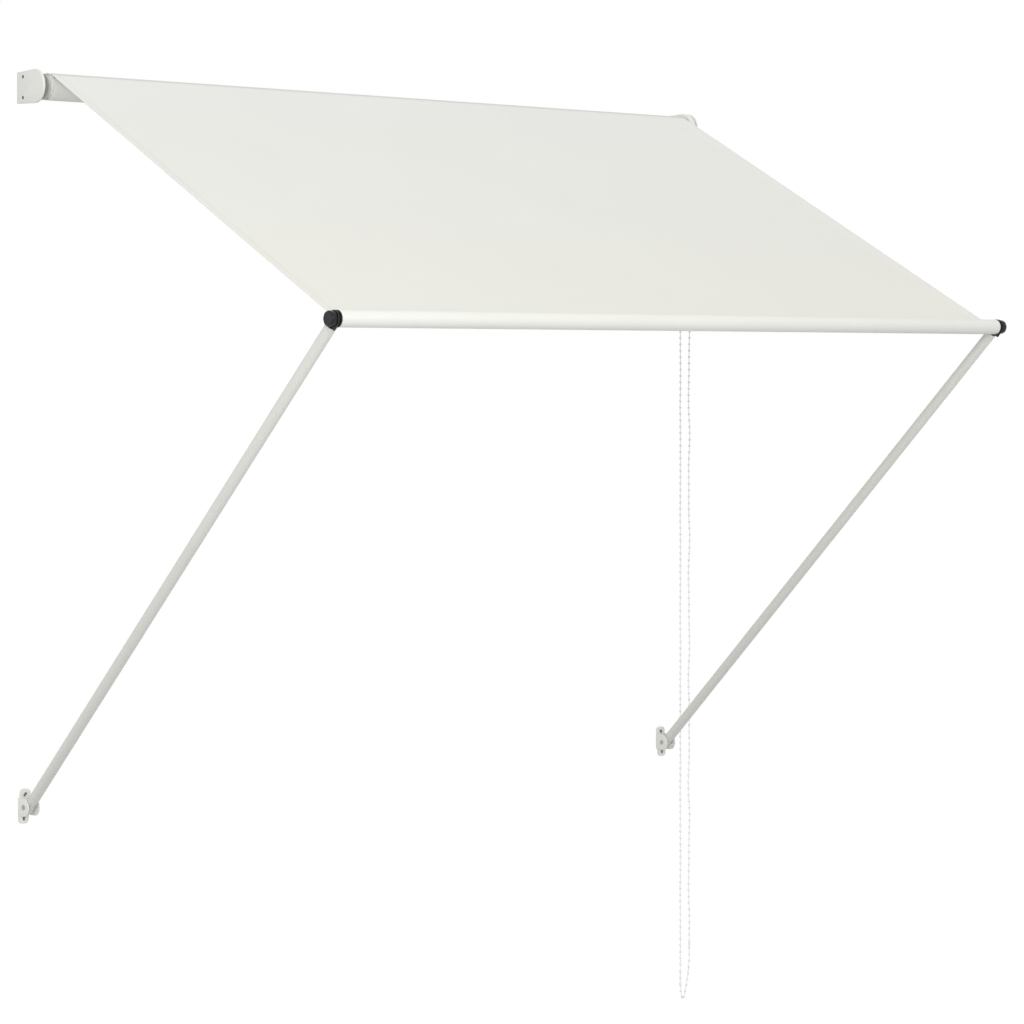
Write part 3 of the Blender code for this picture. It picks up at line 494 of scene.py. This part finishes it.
def mesh_of(name, work, sharp=None):
    """A smooth mesh from the worked faces, with edges sharp that are over the angle in degrees, if given."""
    bmesh.ops.recalc_face_normals(work, faces=work.faces)
    mesh = bpy.data.meshes.new(name)
    work.to_mesh(mesh)
    work.free()
    mesh.shade_smooth()
    if sharp:
        mesh.set_sharp_from_angle(angle=math.radians(sharp))
    return mesh


def band(work, a, b):
    """Faces between two closed rings of points."""
    for i in range(len(a)):
        n = (i + 1) % len(a)
        work.faces.new((a[i], a[n], b[n], b[i]))


def surface_of_turns(name, slot, body, rows, place, sharp=SHARP):
    """A closed form from rows of points, each one turn round the middle, moved by place(u, v, out)."""
    work = bmesh.new()
    made = [[work.verts.new(place(*point)) for point in row] for row in rows]
    for a, b in zip(made, made[1:]):
        band(work, a, b)
    work.faces.new(made[0])
    work.faces.new(made[-1])
    return link(name, mesh_of(name, work, sharp), slot, body)


# Cloth

def cloth_line():
    """Where the cloth leaves the roll and meets the bar's slot, in Y and Z, and its angle on the roller."""
    slot = Vector((math.cos(SLOT_ANGLE), math.sin(SLOT_ANGLE)))
    bar = Vector((BAR_AT.y, BAR_AT.z)) + (BAR_R + GAP) * slot
    axis = Vector((ROLLER_AT.y, ROLLER_AT.z))
    radius = ROLLER_R + GAP + TURNS * TURN_PITCH + TURN_T + GAP + CLOTH_LIFT
    away = bar - axis
    angle = math.atan2(away.y, away.x) % math.tau - math.acos(radius / away.length)
    return axis + radius * Vector((math.cos(angle), math.sin(angle))), bar, angle


def puckers(s, d, from_side):
    """The height of the small folds above the bar, which are strongest near the cloth's sides."""
    amount = PUCKER_EVERYWHERE + math.exp(-(from_side / PUCKER_FROM_SIDE) ** 2)
    amount *= math.exp(-((d - PUCKER_MIDDLE) / PUCKER_SPREAD) ** 2) * min(1.0, d / PUCKER_START)
    return PUCKER_HEIGHT * amount * math.sin(d * math.tau / PUCKER_PITCH + PUCKER_SLANT * s)


def cloth_point(s, d):
    """A point of the cloth and its upward normal, at share s of its width and distance d from the slot."""
    leave, bar, _ = cloth_line()
    run = bar - leave
    length = run.length - GAP
    normal = Vector((0, run.y, -run.x)).normalized()
    if normal.z < 0:
        normal.negate()
    t = 1 - d / length
    y, z = leave + run * (t * length / run.length)
    left = ROLL_LEFT + (HEM_LEFT - ROLL_LEFT) * t
    right = ROLL_RIGHT + (HEM_RIGHT - ROLL_RIGHT) * t
    x = left + (right - left) * s
    from_side = min(x - left, right - x)
    sag = -CLOTH_SAG * math.sin(math.pi * t) * math.sin(math.pi * s) ** 0.5 if 0 < s < 1 else 0.0
    raised = HEM_LIFT if from_side < SIDE_HEM else 0.0
    wave = WAVE_HEIGHT * math.sin(math.pi * t) * math.sin(WAVE_ACROSS * s + WAVE_PHASE)
    wave *= math.sin(WAVE_OUT * t + WAVE_SLANT * s)
    return Vector((x, y, z)) + normal * (sag + raised + puckers(s, d, from_side) + wave), normal


def cloth_sheet():
    """The free cloth as a fine grid: a slight sag, hems along its sides and small puckers at the bar."""
    leave, bar, _ = cloth_line()
    length = (bar - leave).length - GAP
    hem = SIDE_HEM / (ROLL_RIGHT - ROLL_LEFT)
    edge = [hem * column for column in EDGE_COLUMNS]
    inner = 1 - 2 * MIDDLE_FROM * hem
    middle = [hem * MIDDLE_FROM + inner * i / MIDDLE_COLUMNS for i in range(MIDDLE_COLUMNS + 1)]
    places = edge + middle + [1 - s for s in reversed(edge)]
    near = [NEAR_PITCH * i for i in range(NEAR_ROWS)]
    rows = near + [near[-1] + (length - near[-1]) * i / FAR_ROWS for i in range(1, FAR_ROWS + 1)]
    verts = [cloth_point(s, d)[0] for d in rows for s in places]
    across = len(places)
    faces = []
    for j in range(len(rows) - 1):
        for a in range(j * across, (j + 1) * across - 1):
            faces.append((a, a + 1, a + across + 1, a + across))
    mesh = bpy.data.meshes.new("awning_cloth")
    mesh.from_pydata(verts, [], faces)
    mesh.shade_smooth()
    obj = link("awning_cloth", mesh, "cream_cloth")
    solid = obj.modifiers.new("thickness", "SOLIDIFY")
    solid.thickness = CLOTH_T
    solid.offset = 0
    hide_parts("cloth_sheet")
    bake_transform(obj)
    hem_stitches(length, hem)


def hem_stitches(length, hem):
    """One row of lock stitches down each side hem, each a small raised thread."""
    verts = []
    faces = []
    across = Vector((STITCH_R, 0, 0))
    for s in (hem * STITCH_IN_HEM, 1 - hem * STITCH_IN_HEM):
        for k in range(int(length / STITCH_PITCH) - 1):
            d = STITCH_PITCH * (k + 0.5)
            ends = [cloth_point(s, d + part * STITCH_PITCH * STITCH_HALF)[0] for part in (1, -1)]
            middle, normal = cloth_point(s, d)
            raised = normal * (CLOTH_T / 2)
            start = len(verts)
            verts += [ends[0] + raised, ends[1] + raised, middle + raised + across, middle + raised - across,
                      middle + raised + normal * STITCH_R, middle + raised - normal * STITCH_R * 0.5]
            for a, b in ((2, 4), (4, 3), (3, 5), (5, 2)):
                faces.append((start, start + a, start + b))
                faces.append((start + 1, start + b, start + a))
    mesh = bpy.data.meshes.new("hem_stitches")
    mesh.from_pydata(verts, [], faces)
    obj = link("hem_stitches", mesh, "cream_cloth")
    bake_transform(obj)


def cloth_roll():
    """The wound cloth with its turns, finer than the CAD solid."""
    leave = cloth_line()[2]
    steps = TURNS * ROLL_STEPS
    work = bmesh.new()
    rings = []
    for x in (ROLL_LEFT, ROLL_LEFT + ROLL_EDGE, ROLL_LEFT + SIDE_HEM,
              ROLL_RIGHT - SIDE_HEM, ROLL_RIGHT - ROLL_EDGE, ROLL_RIGHT):
        inner = []
        outer = []
        for i in range(steps + 1):
            angle = leave - math.tau * (steps - i) / ROLL_STEPS
            radius = ROLLER_R + GAP + TURN_PITCH * i / ROLL_STEPS
            for side, r in ((inner, radius), (outer, radius + TURN_T)):
                place = (x, ROLLER_AT.y + r * math.cos(angle), ROLLER_AT.z + r * math.sin(angle))
                side.append(work.verts.new(place))
        rings.append((inner, outer))
    for (inner_a, outer_a), (inner_b, outer_b) in zip(rings, rings[1:]):
        for i in range(steps):
            work.faces.new((outer_a[i], outer_a[i + 1], outer_b[i + 1], outer_b[i]))
            work.faces.new((inner_a[i], inner_b[i], inner_b[i + 1], inner_a[i + 1]))
        for i in (0, steps):
            work.faces.new((inner_a[i], outer_a[i], outer_b[i], inner_b[i]))
    for inner, outer in (rings[0], rings[-1]):
        for i in range(steps):
            work.faces.new((inner[i], inner[i + 1], outer[i + 1], outer[i]))
    obj = link("wound_cloth", mesh_of("wound_cloth", work, ROLL_SHARP), "cream_cloth", "roller")
    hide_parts("cloth_roll")


# Bead chain

def chain_path(radius):
    """A fine line down one strand, round the loop's turn and up the other: Y about the axis, and Z."""
    knots = [Vector((radius, STRAND_END)), Vector((radius, LOOP[0][1] + LOOP_LEAD_IN))]
    knots += [Vector(place) for place in LOOP]
    knots += [Vector((-radius, LOOP[-1][1] + LOOP_LEAD_OUT)), Vector((-radius, STRAND_END))]
    path = [Vector((radius, STRAND_END * i / STRAND_STEPS)) for i in range(STRAND_STEPS)]
    for a, b, c, d in zip([knots[0]] + knots, knots, knots[1:], knots[2:] + [knots[-1]]):
        for i in range(CURVE_STEPS):
            t = i / CURVE_STEPS
            path.append(0.5 * (2 * b + (c - a) * t + (2 * a - 5 * b + 4 * c - d) * t * t
                               + (3 * b - 3 * c + d - a) * t ** 3))
    return path + [Vector((-radius, STRAND_END * (1 - i / STRAND_STEPS))) for i in range(STRAND_STEPS + 1)]


def chain_sway(front, z):
    """How far a strand hangs out of line at height z: not at all near the sprocket and the loop's turn."""
    phase = SWAY_PHASE[front]
    loose = min(1.0, max(0.0, (-z - SWAY_START) / SWAY_START_FADE))
    loose *= min(1.0, max(0.0, (z - LOOP[0][1]) / SWAY_END_FADE))
    ripple = SWAY_RIPPLE_SHARE * math.sin(SWAY_RIPPLE * z + 2 * phase)
    return CHAIN_SWAY * loose * (math.sin(SWAY_WAVE * z + phase) + ripple)


def chain_route():
    """The beads' places along both strands and round the sprocket: X off the chain's plane, Y and Z."""
    radius = BEAD_PITCH / (2 * math.sin(math.pi / POCKETS))
    path = chain_path(radius)
    along = [0.0]
    for a, b in zip(path, path[1:]):
        along.append(along[-1] + (b - a).length)
    count = round(along[-1] / BEAD_PITCH)
    places = []
    k = 0
    for i in range(count):
        s = along[-1] * i / count
        while along[k + 1] < s:
            k += 1
        y, z = path[k].lerp(path[k + 1], (s - along[k]) / (along[k + 1] - along[k]))
        front = y > 0
        sway = chain_sway(front, z)
        places.append((SWAY_ACROSS * sway, y + SWAY_ALONG * sway * (1 if front else -1), z))
    steps = POCKETS // 2
    bends = [(0.0, radius * math.cos(math.pi * i / steps), radius * math.sin(math.pi * i / steps))
             for i in range(steps + 1)]
    return places + bends[::-1][:-1]


def bead_chain():
    """Round beads with a faint moulding seam, moulded on a thin string."""
    beads = [Vector((SPROCKET_X + x, y + ROLLER_AT.y, z)) for x, y, z in chain_route()]
    side = Vector((1, 0, 0))
    turns = [math.tau * m / BEAD_SIDES for m in range(BEAD_SIDES)]
    work = bmesh.new()

    def ring(place, up, r):
        return [work.verts.new(place + (side * math.cos(turn) + up * math.sin(turn)) * r) for turn in turns]

    rows = []
    for i, here in enumerate(beads):
        after = beads[(i + 1) % len(beads)]
        axis = (after - beads[i - 1]).normalized()
        up = axis.cross(side).normalized()
        for k in range(BEAD_ROWS):
            a = math.pi * (k + 0.5) / BEAD_ROWS
            seam = BEAD_SEAM if k == BEAD_ROWS // 2 else 1.0
            rows.append(ring(here + axis * (-BEAD_R * BEAD_STRETCH * math.cos(a)), up,
                             max(STRING_R, BEAD_R * math.sin(a) * seam)))
        run = (after - here).normalized()
        up = run.cross(side).normalized()
        start = BEAD_R * STRING_FROM_BEAD
        for reach in (start, (after - here).length - start):
            rows.append(ring(here + run * reach, up, STRING_R))
    for a, b in zip(rows, rows[1:] + rows[:1]):
        band(work, a, b)
    obj = link("pull_chain", mesh_of("pull_chain", work), "white_nylon", "wall_parts")
    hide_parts("bead_chain")


# Knobs, screws and collars

def knob(side):
    """A hand knob with soft lobes, a domed face and a rounded rim, in place of the plain CAD knob."""
    low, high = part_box(side + "_knob")
    start = low.x if side == "right" else high.x
    around = KNOB_LOBES * KNOB_SIDES
    rows = []
    for depth, reach in KNOB_PROFILE:
        row = []
        for i in range(around):
            turn = math.tau * i / around
            dip = 0.5 - 0.5 * math.cos(KNOB_LOBES * turn)
            fade = min(1.0, max(0.0, (reach - KNOB_LOBES_FROM) / KNOB_LOBES_FADE))
            r = KNOB_R * max(reach, KNOB_LEAST_REACH) * (1 - KNOB_LOBE_DEPTH * dip * fade)
            row.append((r * math.cos(turn), r * math.sin(turn), KNOB_T * depth))
        rows.append(row)

    def put(u, v, out):
        return (start + OUTWARD[side] * out, BAR_AT.y + u, BAR_AT.z + v)

    obj = surface_of_turns(side + "_hand_knob", "black_plastic", side + "_knob", rows, put, KNOB_SHARP)
    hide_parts(side + "_knob")


def cover_screw(side, mark):
    """A pan head screw with a cross recess, standing a little proud of the bracket's cover."""
    node = side + "_cover_screw_" + mark
    low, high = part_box(node)
    cover_low, cover_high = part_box(side + "_bracket_cover")
    face = cover_low.x if side == "left" else cover_high.x
    mid = (low + high) / 2

    def ring(r, out, recess=False):
        row = []
        for i in range(SMALL_SIDES):
            turn = math.tau * i / SMALL_SIDES
            u, v = r * math.cos(turn), r * math.sin(turn)
            sunk = RECESS_DEPTH if recess and min(abs(u), abs(v)) < RECESS_HALF else 0.0
            row.append((u, v, out - sunk))
        return row

    def put(u, v, out):
        return (face + OUTWARD[side] * out, mid.y + u, mid.z + v)

    rows = [ring(r, out) for r, out in SCREW_RINGS] + [ring(r, SCREW_TOP, True) for r in RECESS_RINGS]
    made = surface_of_turns(node + "_head", "dark_steel", "wall_parts", rows, put)
    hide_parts(node)


def slot_insert(side, mark, place, tilt):
    """A dark grey collar that lines a foot plate's slot, painted shade for the slot's dark inside, with a
    dimple for the screw.
    """
    run = (FOOT_SLOT_LENGTH - FOOT_SLOT_WIDTH) / 2

    def ring(r, out):
        row = []
        for i in range(SMALL_SIDES):
            turn = math.tau * i / SMALL_SIDES
            along = math.copysign(run, math.sin(turn + 1e-9))
            row.append((r * math.cos(turn), r * math.sin(turn) + along, out))
        return row

    r = FOOT_SLOT_WIDTH / 2 - COLLAR_CLEARANCE
    rows = [ring(r - less, out) for less, out in COLLAR_RINGS] + [ring(*COLLAR_DIMPLE)]
    spin = Matrix.Rotation(tilt, 2)

    def put(u, v, out):
        u, v = spin @ Vector((u, v))
        return (FOOT_X[side] - OUTWARD[side] * (place[0] + u), -out, -FOOT_DROP + place[1] + v)

    made = surface_of_turns(side + "_foot_slot_collar_" + mark, "black_plastic", "wall_parts", rows, put)
    made.data.materials[0] = COLLAR_PAINTED_SHADE_FINISH


# Studio

def background_rays(tree):
    """1 for a ray that shows the background to the camera, in a reflection or through a surface."""
    path = tree.nodes.new("ShaderNodeLightPath")
    seen = path.outputs["Is Camera Ray"]
    for name in ("Is Glossy Ray", "Is Transmission Ray"):
        larger = tree.nodes.new("ShaderNodeMath")
        larger.operation = "MAXIMUM"
        tree.links.new(seen, larger.inputs[0])
        tree.links.new(path.outputs[name], larger.inputs[1])
        seen = larger.outputs[0]
    return seen


def white_floor():
    """A pale floor that the camera sees as white, with a faint shadow of the object."""
    made = bpy.data.materials.new("floor")
    made.use_nodes = True
    tree = made.node_tree
    tree.nodes.clear()
    out = tree.nodes.new("ShaderNodeOutputMaterial")
    mix = tree.nodes.new("ShaderNodeMixShader")
    diffuse = tree.nodes.new("ShaderNodeBsdfDiffuse")
    diffuse.inputs["Color"].default_value = (FLOOR_GREY, FLOOR_GREY, FLOOR_GREY, 1)
    glow = tree.nodes.new("ShaderNodeEmission")
    glow.inputs["Color"].default_value = (*BACKDROP, 1)
    glow.inputs["Strength"].default_value = FLOOR_GLOW
    lit = tree.nodes.new("ShaderNodeBsdfDiffuse")
    lit.inputs["Color"].default_value = (FLOOR_WHITE, FLOOR_WHITE, FLOOR_WHITE, 1)
    seen = tree.nodes.new("ShaderNodeMixShader")
    seen.inputs["Fac"].default_value = FLOOR_SHADOW
    tree.links.new(glow.outputs["Emission"], seen.inputs[1])
    tree.links.new(lit.outputs["BSDF"], seen.inputs[2])
    tree.links.new(background_rays(tree), mix.inputs["Fac"])
    tree.links.new(diffuse.outputs["BSDF"], mix.inputs[1])
    tree.links.new(seen.outputs["Shader"], mix.inputs[2])
    tree.links.new(mix.outputs["Shader"], out.inputs["Surface"])
    return made


def studio():
    """A pale floor, a soft world that is brighter above, and two large soft lamps."""
    bpy.ops.mesh.primitive_plane_add(size=FLOOR_SIZE, location=FLOOR_AT)
    floor = bpy.context.object
    floor.name = "floor"
    floor.data.materials.append(white_floor())
    world = bpy.data.worlds.new("studio")
    bpy.context.scene.world = world
    world.use_nodes = True
    tree = world.node_tree
    back = tree.nodes["Background"]
    back.inputs["Color"].default_value = (1, 1, 1, 1)
    where = tree.nodes.new("ShaderNodeTexCoord")
    parts = tree.nodes.new("ShaderNodeSeparateXYZ")
    tree.links.new(where.outputs["Generated"], parts.inputs["Vector"])
    height = tree.nodes.new("ShaderNodeMapRange")
    height.inputs["From Min"].default_value = -1.0
    height.inputs["To Min"].default_value = WORLD_LOW
    height.inputs["To Max"].default_value = WORLD_HIGH
    tree.links.new(parts.outputs["Z"], height.inputs["Value"])
    level = tree.nodes.new("ShaderNodeMix")
    tree.links.new(background_rays(tree), level.inputs["Factor"])
    tree.links.new(height.outputs["Result"], level.inputs["A"])
    level.inputs["B"].default_value = 1.0
    tree.links.new(level.outputs["Result"], back.inputs["Strength"])
    for name, place, aim, size, power in LAMPS:
        data = bpy.data.lights.new(name, "AREA")
        data.energy = power
        data.size = size
        lamp = bpy.data.objects.new(name, data)
        bpy.context.scene.collection.objects.link(lamp)
        lamp.location = place
        lamp.rotation_euler = (Vector(aim) - Vector(place)).to_track_quat("-Z", "Y").to_euler()


def camera():
    data = bpy.data.cameras.new("photo")
    data.lens = CAMERA_LENS
    data.sensor_width = CAMERA_SENSOR
    data.shift_y = CAMERA_SHIFT_Y
    obj = bpy.data.objects.new("photo", data)
    bpy.context.scene.collection.objects.link(obj)
    obj.location = CAMERA_AT
    obj.rotation_euler = (math.pi / 2, 0, CAMERA_TURN)
    bpy.context.scene.camera = obj


bpy.context.scene.view_settings.view_transform = "Standard"
dress_nodes()
cloth_sheet()
cloth_roll()
bead_chain()
for side in ("left", "right"):
    knob(side)
    for mark, (place, tilt) in FOOT_SLOTS.items():
        cover_screw(side, mark)
        slot_insert(side, mark, place, tilt)
studio()
camera()
